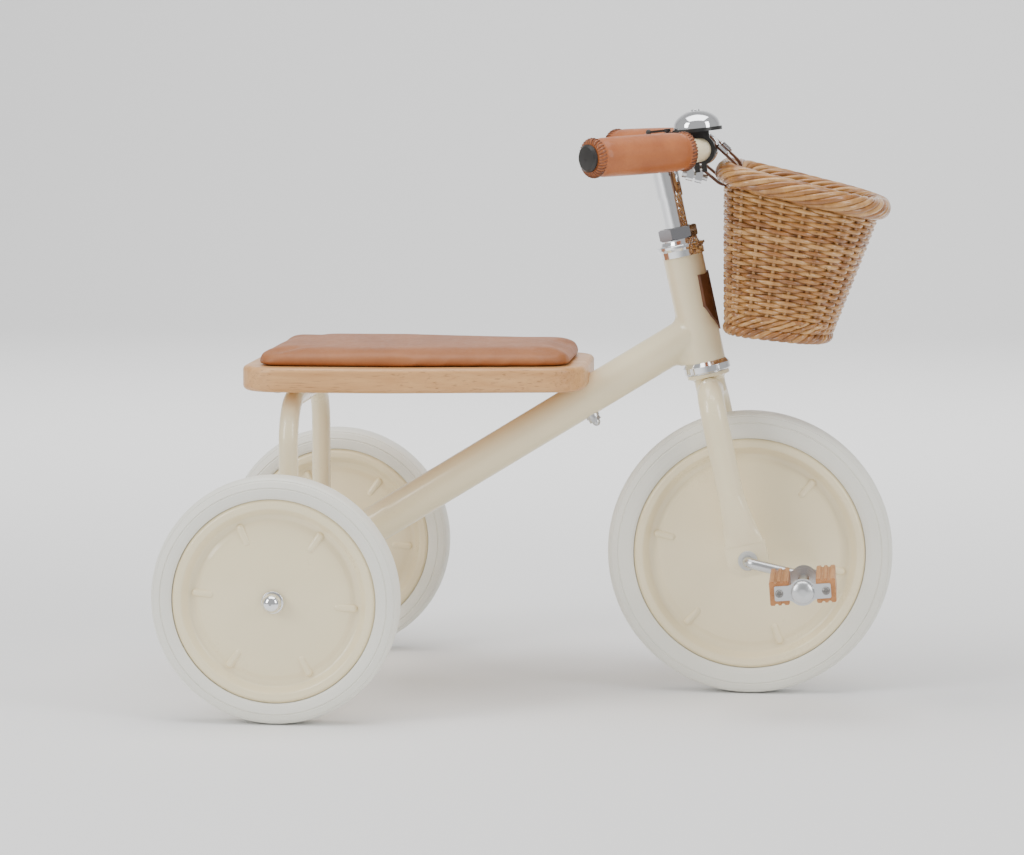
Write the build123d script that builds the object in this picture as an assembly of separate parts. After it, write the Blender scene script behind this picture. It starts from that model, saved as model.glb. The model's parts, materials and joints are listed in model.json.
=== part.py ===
from build123d import *
import os
from math import asin, copysign, cos, degrees, pi, radians, sin

# Children's tricycle.  Millimetres; +X points forward, +Y to the rider's left, +Z up.
# The origin is on the floor, under the middle of the tricycle's length and width.

# Layout
WHEELBASE = 424.2
REAR_AXLE_X = -223.0
FRONT_AXLE_X = REAR_AXLE_X + WHEELBASE
REAR_TYRE_R = 114.0
FRONT_TYRE_R = 135.2
HALF_TRACK = 194.6
HEAD_LEAN = 12.4
HEAD_X = 146.8
HEAD_Z = 368.0

# Clearances and common stock
RUNNING = 0.06
AXLE_R = 5.0
RIGHT = -1
LEFT = 1
SIDE_NAMES = {RIGHT: "right", LEFT: "left"}

# Wheels
REAR_RIM_R = 93.2
FRONT_RIM_R = 109.7
TYRE_HALF_WIDTH = 17.0
DISC_WALL = 1.5
DOME_RISE = 8.0
DOME_CREST = 15.4
HUB_HALF = 16.2
REAR_HUB_R = 10.0
CAP_R = 9.0
CAP_CENTRE = 5.0
RIB_COUNT = 6
RIB_R = 3.6
GROOVE_DEPTHS = (3.9, 10.3)

# Frame tubes
HEAD_TUBE_R = 19.05
HEAD_TUBE_BORE = 17.0
HEAD_TOP = 50.0
HEAD_BOTTOM = -52.0
MAIN_TUBE_R = 18.0
MAIN_TUBE_BORE = 16.4
MAIN_TUBE_SLOPE = 31.6
MAIN_TUBE_RISE = 2.6
WELD_RADIUS = 9.0
AXLE_TUBE_R = 12.7
AXLE_TUBE_HALF = 176.6
HOOP_R = 9.1
HOOP_BORE = 7.6
HOOP_HALF_WIDTH = 100.0
HOOP_BEND = 42.0
HOOP_TOP_Z = 284.6
HOOP_X = REAR_AXLE_X - 3.0

# Seat
BOARD_BOTTOM = 294.0
BOARD_THICK = 23.0
BOARD_TOP = BOARD_BOTTOM + BOARD_THICK
BOARD_BACK_X = REAR_AXLE_X - 49.2
BOARD_FRONT_X = REAR_AXLE_X + 271.1
BOARD_TAPER_X = REAR_AXLE_X + 90.0
BOARD_BACK_HALF = 112.0
BOARD_FRONT_HALF = 84.0
CUSHION_INSET = 12.0
CUSHION_THICK = 15.5
SEAT_BOLT_STATION = 310.3
BOLT_GRIP = 2 * MAIN_TUBE_R + 16.0
TAB_Y = 58.0
TAB_SCREW_X = 17.0

# Headset stack, measured along the steering axis from its datum
STEERER_R = 12.7
QUILL_R = 11.1
BALL_R = 2.2
BALL_RING_R = 16.2
BALL_COUNT = 20
LOCKNUT_FLATS = 32.0

# Fork, in the steering frame: forward, left, up along the axis
BLADE_R = 12.3
BLADE_Y = 52.5
BLADE_TOP_S = -79.4
CROWN_R = 14.4
CROWN_BOTTOM = -84.0
PLATE_WIDTH = 38.5
PLATE_Y = 56.0
PLATE_THICK = 6.5

# Handlebar and stem
BAR_R = 11.1
BAR_BORE = 9.6
BAR_X = 153.5
BAR_Z = 518.5
BAR_APEX_Y = 80.0
BAR_SWEEP = 46.9
BAR_DROP = 2.1
BAR_RUN = 129.0
BAR_BEND = 30.0
GRIP_START = 13.5
GRIP_R = 18.0
STEM_R = 12.3
STEM_TOP = 155.0
CLAMP_R = 16.0
CLAMP_HALF = 15.0
EAR_TILT = 14.0
EAR_BOLT_DROP = 26.5
SLEEVE_BOTTOM = 106.5

# Bell
BELL_Y = -62.0
BELL_TILT = 6.0
BELL_FLANGE_R = 23.0
BELL_FLANGE_H = 17.0
BELL_RING_R = 14.8
BELL_SCREW_DROP = 17.6
LEVER_PIVOT_X = -27.5

# Cranks and pedals
CRANK_LENGTH = 54.0
CRANK_REST = -13.0
CRANK_ARM_Y = 72.0
CRANK_BEND = 8.0
PEDAL_INNER_Y = 80.5
PEDAL_TILT = 4.6
BLOCK_LENGTH = 80.0
BLOCK_WIDTH = 17.6
BLOCK_HEIGHT = 22.0
BLOCK_X = 21.15
PEDAL_PLATE_THICK = 1.6

# Basket: outlines of its foot and of its rim
BASKET_FOOT = {"x": 225.5, "z": 348.0, "length": 105.0, "width": 150.0, "tilt": 8.2}
BASKET_RIM = {"x": 249.0, "z": 480.3, "length": 153.0, "width": 201.0, "tilt": 13.6}
BASKET_WALL = 6.0
OUTLINE_POINTS = 32
BACK_SQUARENESS = 4.4
FRONT_SQUARENESS = 2.5
RIM_ROLL_R = 10.5
STRAP_Y = 46.0
STRAP_WIDTH = 14.0
STRAP_THICK = 2.2

HEAD_UP = Vector(-sin(radians(HEAD_LEAN)), 0, cos(radians(HEAD_LEAN)))
HEAD_FORWARD = Vector(cos(radians(HEAD_LEAN)), 0, sin(radians(HEAD_LEAN)))
STEERING = Plane(origin=(HEAD_X, 0, HEAD_Z), x_dir=HEAD_FORWARD, z_dir=HEAD_UP)
REAR_AXLE = Vector(REAR_AXLE_X, 0, REAR_TYRE_R)
FRONT_AXLE = Vector(FRONT_AXLE_X, 0, FRONT_TYRE_R)
BAR_CENTRE = Vector(BAR_X, 0, BAR_Z)
ALONG_TUBE = Vector(cos(radians(MAIN_TUBE_SLOPE)), 0, sin(radians(MAIN_TUBE_SLOPE)))
TUBE_DOWN = Vector(sin(radians(MAIN_TUBE_SLOPE)), 0, -cos(radians(MAIN_TUBE_SLOPE)))
TUBE_FOOT = REAR_AXLE + Vector(0, 0, MAIN_TUBE_RISE)
HEAD_JOINT = TUBE_FOOT + ALONG_TUBE * 441.0
BOTTOM_UP = (Align.CENTER, Align.CENTER, Align.MIN)
TOP_DOWN = (Align.CENTER, Align.CENTER, Align.MAX)


# ---------------------------------------------------------------- shared shapes

def turned(points):
    """Solid of revolution about Z from (radius, height) points."""
    return revolve(Plane.XZ * make_face(Polyline(*points, close=True)), Axis.Z)


def smooth_dome(radius, height):
    """Solid cap on z = 0: upright at its edge and level at its top."""
    crown = Spline(
        (radius, 0), (radius * 0.87, height * 0.55), (radius * 0.48, height * 0.92), (0, height),
        tangents=[(0, 1), (-1, 0)])
    return revolve(Plane.XZ * make_face(crown + Polyline((0, height), (0, 0), (radius, 0))), Axis.Z)


def rod(start, end, radius):
    """Plain cylinder from one point to another."""
    start, end = Vector(*start), Vector(*end)
    return Plane(origin=start, z_dir=end - start) * Cylinder(radius, (end - start).length, align=BOTTOM_UP)


def pipe(path, radius, bore=0):
    """Round section swept along a path, hollow when a bore is given."""
    section = Circle(radius) - Circle(bore) if bore else Circle(radius)
    return sweep(Plane(origin=path @ 0, z_dir=path % 0) * section, path=path)


def on_wheel_side(centre, side):
    """Placing for a piece drawn with its own +Z pointing outboard on one side of the tricycle."""
    return Pos(centre.X, centre.Y, centre.Z) * Rot(-90 * side, 0, 0)


def capsule(start, end, radius):
    """Rod with round ends."""
    return rod(start, end, radius) + Pos(*start) * Sphere(radius) + Pos(*end) * Sphere(radius)


def pan_screw(head_r, head_height, shank_r, shank_length):
    """Cross-head screw standing on z = 0 with its shank below."""
    head = Cylinder(head_r, head_height, align=BOTTOM_UP)
    head = fillet(head.edges().sort_by(Axis.Z)[-1], head_height * 0.85)
    for angle in (0, 90):
        head -= Pos(0, 0, head_height) * Rot(0, 0, angle) * Box(head_r * 1.25, head_r * 0.28, head_height * 0.9)
    return head + Cylinder(shank_r, shank_length, align=TOP_DOWN)


# ---------------------------------------------------------------- wheels

def disc_section(rim_r, hub_r):
    """Pressed half of a wheel: rolled rim, step, then a shallow dome up to the hub."""
    dome_r = rim_r - 24
    dome_foot = DOME_CREST - DOME_RISE
    rim = FilletPolyline(
        (rim_r, 12.8), (rim_r - 2.8, 15.8), (rim_r - 8.5, 15.4),
        (rim_r - 14, 6.4), (rim_r - 19, 5.6), (dome_r, dome_foot),
        radius=[1.6, 2.5, 3.0, 6.0],
    )
    shoulder = (dome_r * 0.62, DOME_CREST - DOME_RISE * 0.38)
    dome = ThreePointArc((dome_r, dome_foot), shoulder, (hub_r + 6, DOME_CREST))
    hub = Line((hub_r + 6, DOME_CREST), (hub_r, DOME_CREST))
    outer = [rim, dome, hub]
    inner = [Pos(0, -DISC_WALL) * line for line in outer]
    ends = [Line((r, h), (r, h - DISC_WALL)) for r, h in ((rim_r, 12.8), (hub_r, DOME_CREST))]
    return make_face(Curve() + outer + inner + ends)


def wheel_disc(rim_r, hub_r, first_rib):
    """One pressed half with short stiffening ribs where the dome meets the step."""
    disc = revolve(Plane.XZ * disc_section(rim_r, hub_r), Axis.Z)
    for index in range(RIB_COUNT):
        foot = DOME_CREST - DOME_RISE
        rib = capsule((rim_r - 35, 0, foot + 0.4), (rim_r - 20.5, 0, foot - 1.6), RIB_R)
        disc += Rot(0, 0, first_rib + index * 360 / RIB_COUNT) * rib
    return disc


def tyre(outer_r, rim_r):
    """Solid rubber tyre with two fine grooves in each shoulder."""
    shoulder, bead = outer_r - GROOVE_DEPTHS[0], outer_r - GROOVE_DEPTHS[1]
    half = [
        (rim_r - 11.5, 4.0), (rim_r - 7, 11.6), (rim_r - 1.5, 11.4), (rim_r + 0.4, 10.6),
        (rim_r + 0.4, 14.6), (rim_r + 2.5, 16.0), (rim_r + 6, 16.8), (bead - 1.0, TYRE_HALF_WIDTH),
        (bead, 15.9), (bead + 1.0, 16.7), (shoulder - 0.8, 14.9), (shoulder, 13.7), (shoulder + 0.8, 13.7),
        (outer_r - 1.4, 11.4), (outer_r - 0.4, 7.0), (outer_r, 2.0),
    ]
    return turned(half + [(r, -h) for r, h in reversed(half)])


def build_rear_wheel(side):
    name = "rear_" + SIDE_NAMES[side]
    place = on_wheel_side(Vector(REAR_AXLE_X, side * HALF_TRACK, REAR_TYRE_R), side)
    disc = wheel_disc(REAR_RIM_R, REAR_HUB_R, -5)
    hub = Cylinder(REAR_HUB_R, 2 * HUB_HALF) - Cylinder(AXLE_R + RUNNING, 3 * HUB_HALF)
    return {
        name + "_tyre": place * tyre(REAR_TYRE_R, REAR_RIM_R),
        name + "_outer_disc": place * disc,
        name + "_inner_disc": place * Rot(180, 0, 0) * disc,
        name + "_hub_bush": place * hub,
    }


def build_front_wheel():
    hub_r = 9.0
    disc = wheel_disc(FRONT_RIM_R, hub_r, -11)
    parts = {"front_tyre": Pos(*FRONT_AXLE) * Rot(-90, 0, 0) * tyre(FRONT_TYRE_R, FRONT_RIM_R)}
    for side in (RIGHT, LEFT):
        parts["front_%s_disc" % SIDE_NAMES[side]] = on_wheel_side(FRONT_AXLE, side) * disc
    hub_half = PLATE_Y - PLATE_THICK / 2 - 1.2
    parts["front_hub"] = Pos(*FRONT_AXLE) * Rot(90, 0, 0) * (
        Cylinder(hub_r, 2 * hub_half) - Cylinder(AXLE_R, 3 * hub_half))
    return parts


def crank_end(side):
    """Centre of the pedal spindle on one side, in the wheel's plane."""
    angle = radians(CRANK_REST + (180 if side == LEFT else 0))
    return FRONT_AXLE + Vector(cos(angle), 0, sin(angle)) * CRANK_LENGTH


def build_crank_rod():
    """One bent rod: axle, two arms and two pedal spindles."""
    right, left = crank_end(RIGHT), crank_end(LEFT)
    tip = PEDAL_INNER_Y + BLOCK_LENGTH + 2
    path = FilletPolyline(
        (right.X, -tip, right.Z), (right.X, -CRANK_ARM_Y, right.Z), (FRONT_AXLE_X, -CRANK_ARM_Y, FRONT_TYRE_R),
        (FRONT_AXLE_X, CRANK_ARM_Y, FRONT_TYRE_R), (left.X, CRANK_ARM_Y, left.Z), (left.X, tip, left.Z),
        radius=CRANK_BEND,
    )
    return pipe(path, AXLE_R)


# ---------------------------------------------------------------- pedals

def pedal_block():
    """Grooved wooden tread standing along Z."""
    block = Box(BLOCK_WIDTH, BLOCK_HEIGHT, BLOCK_LENGTH, align=BOTTOM_UP)
    block = fillet(block.edges().filter_by(Axis.Z), 1.6)
    for across in (-2.9, 2.9):
        for end in (-1, 1):
            block -= Pos(across, end * BLOCK_HEIGHT / 2, 0) * Cylinder(1.6, BLOCK_LENGTH, align=BOTTOM_UP)
    for height in (0, BLOCK_LENGTH):
        block -= Pos(0, 0, height) * Cylinder(1.7, 28)
    return block


def pedal_plate():
    """Flat end strap, widened round the spindle."""
    strap = Rectangle(51, 13.5) + Circle(12.3)
    strap = fillet([corner for corner in strap.vertices() if abs(corner.X) < 20], 7)
    strap = fillet([corner for corner in strap.vertices() if abs(corner.X) > 25], 1.5)
    return extrude(strap, PEDAL_PLATE_THICK)


def pedal_end_plates():
    """Outer strap with its closed dome, and inner strap with its stepped collar."""
    top = BLOCK_LENGTH + PEDAL_PLATE_THICK
    dome = smooth_dome(10.8, 5.8)
    outer = Pos(0, 0, BLOCK_LENGTH) * pedal_plate() + Pos(0, 0, top) * dome
    outer -= Cylinder(AXLE_R + RUNNING, BLOCK_LENGTH + 2.4, align=BOTTOM_UP)
    steps = [(11.6, 2.0), (10.0, 3.6), (8.4, 5.2), (6.9, 6.8)]
    inner = Pos(0, 0, -PEDAL_PLATE_THICK) * pedal_plate()
    for radius, height in steps:
        inner += Cylinder(radius, height, align=BOTTOM_UP)
    inner -= Cylinder(AXLE_R + RUNNING, 40)
    holes = [Pos(x, 0, 0) * Cylinder(1.75, 400) for x in (-BLOCK_X, BLOCK_X)]
    return Compound([outer - holes, inner - holes])


def build_pedal(side):
    name = "pedal_%s" % SIDE_NAMES[side]
    axis = crank_end(side)
    inner_y = PEDAL_INNER_Y + PEDAL_PLATE_THICK
    place = on_wheel_side(Vector(axis.X, side * inner_y, axis.Z), side) * Rot(0, 0, -side * PEDAL_TILT)
    screws = []
    for x in (-BLOCK_X, BLOCK_X):
        screws.append(Pos(x, 0, BLOCK_LENGTH + PEDAL_PLATE_THICK) * pan_screw(3.7, 2.3, 1.7, 14))
        screws.append(Pos(x, 0, -PEDAL_PLATE_THICK) * Rot(180, 0, 0) * pan_screw(3.7, 2.3, 1.7, 14))
    blocks = [Pos(x, 0, 0) * pedal_block() for x in (-BLOCK_X, BLOCK_X)]
    return {
        name + "_blocks": place * Compound(blocks),
        name + "_end_plates": place * pedal_end_plates(),
        name + "_screws": place * Compound(screws),
    }


# ---------------------------------------------------------------- frame

def build_head_tube():
    length = HEAD_TOP - HEAD_BOTTOM
    tube = Cylinder(HEAD_TUBE_R, length, align=BOTTOM_UP) - Cylinder(HEAD_TUBE_BORE, length, align=BOTTOM_UP)
    return STEERING.location * Pos(0, 0, HEAD_BOTTOM) * tube


def seat_bolt_plane():
    """Plane on the lower side of the main tube at the seat bolt, facing away from the tube."""
    foot = TUBE_FOOT + ALONG_TUBE * SEAT_BOLT_STATION + TUBE_DOWN * MAIN_TUBE_R
    return Plane(origin=foot, x_dir=ALONG_TUBE, z_dir=TUBE_DOWN)


def build_main_tube():
    """Down tube from the rear axle tube to the head tube, with a flared weld at the head."""
    head = STEERING.location * Cylinder(HEAD_TUBE_R, 240)
    tube = rod(TUBE_FOOT, HEAD_JOINT, MAIN_TUBE_R)
    joined = tube + head
    seam = [edge for edge in joined.edges() if (edge.center() - HEAD_JOINT).length < 60
            and edge.geom_type != GeomType.CIRCLE and edge.geom_type != GeomType.LINE]
    flared = fillet(seam, WELD_RADIUS) - STEERING.location * Cylinder(HEAD_TUBE_R, 260)
    flared -= STEERING.location * Pos(0, 0, HEAD_BOTTOM) * Cylinder(HEAD_TUBE_R + 4, 40, align=TOP_DOWN)
    flared = flared.solids().sort_by(SortBy.VOLUME)[-1]
    bore = rod(TUBE_FOOT, HEAD_JOINT, MAIN_TUBE_BORE)
    axle = Pos(*REAR_AXLE) * Rot(90, 0, 0) * Cylinder(AXLE_TUBE_R, 2 * AXLE_TUBE_HALF)
    bolt = seat_bolt_plane() * Cylinder(3.1, 120)
    pieces = flared - bore - axle - bolt
    return pieces.solids().sort_by(SortBy.VOLUME)[-1]


def build_axle_tube():
    """Cross tube with thick ends that hold the rear axle."""
    half, end = AXLE_TUBE_HALF, 18.0
    profile = [
        (AXLE_R, -half), (AXLE_TUBE_R, -half), (AXLE_TUBE_R, half), (AXLE_R, half),
        (AXLE_R, half - end), (10.5, half - end - 4), (10.5, -half + end + 4), (AXLE_R, -half + end),
    ]
    return Pos(*REAR_AXLE) * Rot(90, 0, 0) * turned(profile)


def build_seat_hoop():
    """Inverted U under the back of the seat, with two welded mounting tabs."""
    path = FilletPolyline(
        (HOOP_X, -HOOP_HALF_WIDTH, REAR_TYRE_R + 4), (HOOP_X, -HOOP_HALF_WIDTH, HOOP_TOP_Z),
        (HOOP_X, HOOP_HALF_WIDTH, HOOP_TOP_Z), (HOOP_X, HOOP_HALF_WIDTH, REAR_TYRE_R + 4),
        radius=HOOP_BEND,
    )
    hoop = pipe(path, HOOP_R, HOOP_BORE)
    hoop -= Pos(*REAR_AXLE) * Rot(90, 0, 0) * Cylinder(AXLE_TUBE_R, 300)
    for side in (RIGHT, LEFT):
        tab = fillet(Box(52, 28, 2.6).edges().filter_by(Axis.Z), 5)
        for x in (-TAB_SCREW_X, TAB_SCREW_X):
            tab -= Pos(x, 0, 0) * Cylinder(2.8, 10)
        tab = Pos(HOOP_X, side * TAB_Y, BOARD_BOTTOM - 1.3) * tab
        hoop += tab - rod((HOOP_X, -90, HOOP_TOP_Z), (HOOP_X, 90, HOOP_TOP_Z), HOOP_BORE)
    return hoop


def tab_screw_places():
    return [Pos(HOOP_X + x, side * TAB_Y, BOARD_BOTTOM - 2.6) * Rot(180, 0, 0)
            for side in (RIGHT, LEFT) for x in (-TAB_SCREW_X, TAB_SCREW_X)]


def build_seat_screws():
    return Compound([place * pan_screw(4.6, 2.8, 2.5, 18) for place in tab_screw_places()])


def seat_outline():
    """Plan of the seat board: square back, tapering towards a rounded front."""
    half = [
        (BOARD_BACK_X, BOARD_BACK_HALF), (BOARD_TAPER_X, BOARD_BACK_HALF), (BOARD_FRONT_X, BOARD_FRONT_HALF),
    ]
    corners = half + [(x, -y) for x, y in reversed(half)]
    return make_face(FilletPolyline(*corners, radius=[38, 150, 36, 36, 150, 38], close=True))


def build_seat_board():
    board = Pos(0, 0, BOARD_BOTTOM) * extrude(seat_outline(), BOARD_THICK)
    rims = board.faces().sort_by(Axis.Z)
    board = fillet(rims[0].edges() + rims[-1].edges(), 4.5)
    board -= rod(TUBE_FOOT, HEAD_JOINT, MAIN_TUBE_R + 0.2)
    board -= seat_bolt_plane() * Cylinder(3.1, 300)
    head_place = seat_bolt_plane() * Pos(0, 0, -BOLT_GRIP)
    board -= head_place * Cylinder(9.5, 40, align=TOP_DOWN)
    for place in tab_screw_places():
        board -= place * Cylinder(2.5, 19, align=TOP_DOWN)
    return board


def build_seat_cushion():
    """Padded top: the board's outline drawn in, with soft edges."""
    plan = offset(seat_outline(), -CUSHION_INSET)
    pad = Pos(0, 0, BOARD_TOP) * extrude(plan, CUSHION_THICK)
    pad = fillet(pad.faces().sort_by(Axis.Z)[-1].edges(), 6.5)
    return fillet(pad.faces().sort_by(Axis.Z)[0].edges(), 2.5)


def build_seat_fastener():
    """Bolt through the board and the main tube, with a saddle washer and a domed nut."""
    plane = seat_bolt_plane()
    head = Pos(0, 0, -BOLT_GRIP) * Cylinder(8.0, 3.4, align=TOP_DOWN)
    bolt = head + Pos(0, 0, -BOLT_GRIP) * Cylinder(3.0, BOLT_GRIP + 7, align=BOTTOM_UP)
    washer = Cylinder(6.6, 9, align=TOP_DOWN)
    washer = Pos(0, 0, 1.8) * washer - Pos(0, 0, -MAIN_TUBE_R) * Rot(0, 90, 0) * Cylinder(MAIN_TUBE_R, 60)
    washer = washer.solids().sort_by(Axis.Z)[-1] - Cylinder(3.1, 30)
    skirt = Cylinder(5.6, 1.2, align=BOTTOM_UP)
    hexagon = extrude(RegularPolygon(5.0, 6, major_radius=False), 4.2)
    crown = Pos(0, 0, 4.2) * (Cylinder(3.9, 1.2, align=BOTTOM_UP) + Pos(0, 0, 1.2) * Sphere(3.9))
    nut = Pos(0, 0, 1.8) * (skirt + hexagon + crown) - Cylinder(3.0, 7, align=BOTTOM_UP)
    return {"seat_bolt": plane * bolt, "seat_bolt_washer": plane * washer, "seat_bolt_nut": plane * nut}


def build_head_badge():
    """Blank leather shield wrapped on the front of the head tube."""
    inner, outer = HEAD_TUBE_R, HEAD_TUBE_R + 1.5
    shell = Cylinder(outer, 200) - Cylinder(inner, 200)
    half = [(0, 32), (9, 29.5), (16, 30), (16.5, 0), (12.5, -11), (6.5, -19)]
    outline = half + [(0, -25)] + [(-y, s) for y, s in reversed(half[1:])]
    plan = make_face(Polyline(*outline, close=True))
    shield = Plane(origin=(0, 0, 0), x_dir=(0, 1, 0), z_dir=(1, 0, 0)) * extrude(plan, 60)
    return STEERING.location * (shell & shield)


def build_rear_axle():
    """Rod through the cross tube, with plain washers and pressed-on caps."""
    hub_end = HALF_TRACK + HUB_HALF
    tip = hub_end + 6
    axle = rod((REAR_AXLE_X, -tip, REAR_TYRE_R), (REAR_AXLE_X, tip, REAR_TYRE_R), AXLE_R)
    washers, caps = [], []
    for side in (RIGHT, LEFT):
        washer = Cylinder(9.6, 1.2, align=BOTTOM_UP) - Cylinder(AXLE_R, 4)
        for start in (HUB_HALF + 0.3, -HUB_HALF - 1.5):
            place = on_wheel_side(Vector(REAR_AXLE_X, side * (HALF_TRACK + start), REAR_TYRE_R), side)
            washers.append(place * washer)
        cap = fillet(Cylinder(CAP_R + 1.3, 1.6, align=BOTTOM_UP).edges().sort_by(Axis.Z)[-1], 0.7)
        ball = Pos(0, 0, CAP_CENTRE) * Sphere(CAP_R) - Cylinder(CAP_R + 1, CAP_R, align=TOP_DOWN)
        cap += ball + Cylinder(CAP_R, CAP_CENTRE, align=BOTTOM_UP)
        cap -= Cylinder(AXLE_R, 4.6, align=BOTTOM_UP)
        caps.append(on_wheel_side(Vector(REAR_AXLE_X, side * (hub_end + 1.5), REAR_TYRE_R), side) * cap)
    return {"rear_axle": axle, "rear_axle_washers": Compound(washers), "rear_axle_caps": Compound(caps)}


# ---------------------------------------------------------------- headset

def build_head_cups():
    upper = turned([
        (13.6, 41), (HEAD_TUBE_BORE, 41), (HEAD_TUBE_BORE, HEAD_TOP), (21.0, HEAD_TOP), (21.2, 56),
        (23.1, 58.4), (23.1, 60.8), (22.6, 61.2), (19.2, 61.2), (19.2, 53.4), (13.6, 53.4)])
    lower = turned([
        (13.6, -43), (HEAD_TUBE_BORE, -43), (HEAD_TUBE_BORE, HEAD_BOTTOM), (19.6, HEAD_BOTTOM), (22.2, -55.6),
        (22.2, -61.4), (21.6, -62.2), (19.4, -62.2), (19.4, -57), (13.6, -57)])
    return {"upper_head_cup": STEERING.location * upper, "lower_head_cup": STEERING.location * lower}


def build_head_bearings():
    """Ball rings, races, washer and locknut that turn with the fork."""
    balls = []
    for height in (55.9, -59.5):
        for index in range(BALL_COUNT):
            balls.append(Rot(0, 0, index * 360 / BALL_COUNT) * Pos(BALL_RING_R, 0, height) * Sphere(BALL_R))
    lower_race = turned([(STEERER_R, -61.8), (18.6, -61.8), (18.6, -63), (STEERER_R, -63)])
    upper_race = turned([
        (STEERER_R, 58.2), (18.4, 58.2), (18.4, 61.8), (17.2, 65.2), (STEERER_R, 65.2)])
    washer = turned([(STEERER_R, 65.2), (17.4, 65.2), (17.4, 66.4), (STEERER_R, 66.4)])
    nut = extrude(RegularPolygon(LOCKNUT_FLATS / 2, 6, major_radius=False), 11.3)
    corner_cut = turned([(0, 0), (16.4, 0), (18.6, 1.3), (18.6, 10.0), (16.4, 11.3), (0, 11.3)])
    nut = Pos(0, 0, 66.4) * (Rot(0, 0, 12) * nut & corner_cut) - Cylinder(STEERER_R, 400)
    pieces = {
        "head_bearing_balls": Compound(balls), "head_races": Compound([lower_race, upper_race]),
        "headset_washer": washer, "headset_locknut": nut,
    }
    return {name: STEERING.location * piece for name, piece in pieces.items()}


# ---------------------------------------------------------------- fork

def crown_outside():
    """Turned outside of the crown boss: collar below the race, narrowing to the blades' hub."""
    return turned([
        (0, CROWN_BOTTOM), (13.2, CROWN_BOTTOM), (CROWN_R, CROWN_BOTTOM + 1.2), (CROWN_R, -70.5), (15.2, -68.6),
        (18.0, -67.2), (20.2, -66.4), (20.2, -63.4), (19.8, -63), (0, -63)])


def build_fork_crown():
    crown = crown_outside() - Pos(0, 0, CROWN_BOTTOM + 4) * Cylinder(STEERER_R, 60, align=BOTTOM_UP)
    steerer = Pos(0, 0, CROWN_BOTTOM + 4) * Cylinder(STEERER_R, 156.5, align=BOTTOM_UP)
    steerer -= Cylinder(QUILL_R + RUNNING, 400)
    return {"fork_crown": STEERING.location * crown, "steerer_tube": STEERING.location * steerer}


def axle_in_steering_frame():
    return STEERING.to_local_coords(FRONT_AXLE)


def fork_end_plate(side):
    """Flattened blade end with clipped lower corners, drilled for the bush."""
    axle = axle_in_steering_frame()
    half = PLATE_WIDTH / 2
    outline = [
        (axle.X - half, axle.Z + 17), (axle.X + half, axle.Z + 17), (axle.X + half, axle.Z - 6),
        (axle.X + half - 9, axle.Z - 15), (axle.X - half + 9, axle.Z - 15), (axle.X - half, axle.Z - 6),
    ]
    plan = fillet(make_face(Polyline(*outline, close=True)).vertices().sort_by(Axis.Y)[:4], 2.5)
    plate = Pos(0, PLATE_THICK / 2, 0) * (Plane.XZ * extrude(plan, PLATE_THICK))
    return Pos(0, side * PLATE_Y, 0) * plate


def build_fork_blade(side):
    """Bent tube from the crown, flattened round the axle."""
    axle = axle_in_steering_frame()
    neck = axle.Z + 62
    path = FilletPolyline(
        (0, side * 4, BLADE_TOP_S), (0, side * BLADE_Y, BLADE_TOP_S), (0, side * BLADE_Y, neck), radius=24)
    blade = pipe(path, BLADE_R) - crown_outside()
    top = Plane(origin=(0, side * BLADE_Y, neck)) * Circle(BLADE_R)
    middle = Plane(origin=(axle.X * 0.4, side * (BLADE_Y + 0.6), axle.Z + 40)) * RectangleRounded(29, 19, 9.2)
    end = Plane(origin=(axle.X, side * PLATE_Y, axle.Z + 15))
    end = end * RectangleRounded(PLATE_WIDTH - 0.6, PLATE_THICK + 0.8, 3.0)
    blade += loft([top, middle, end])
    blade += fork_end_plate(side)
    hole = Pos(axle.X, 0, axle.Z) * Rot(90, 0, 0) * Cylinder(6.0, 400)
    return STEERING.location * (blade - hole)


def build_fork_bushes():
    bushes = []
    outer_face = PLATE_Y + PLATE_THICK / 2
    for side in (RIGHT, LEFT):
        bush = turned([
            (AXLE_R + RUNNING, -PLATE_THICK), (6.0, -PLATE_THICK), (6.0, 0), (9.25, 0), (9.25, 1.0),
            (8.6, 1.6), (AXLE_R + RUNNING, 1.6)])
        bushes.append(on_wheel_side(Vector(FRONT_AXLE_X, side * outer_face, FRONT_TYRE_R), side) * bush)
    return Compound(bushes)


# ---------------------------------------------------------------- stem and handlebar

def ear_plane():
    """Plane at the bar's centre whose -Z points down the clamp ears."""
    tilt = radians(EAR_TILT)
    return Plane(origin=BAR_CENTRE, x_dir=(cos(tilt), 0, -sin(tilt)), z_dir=(sin(tilt), 0, cos(tilt)))


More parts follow.
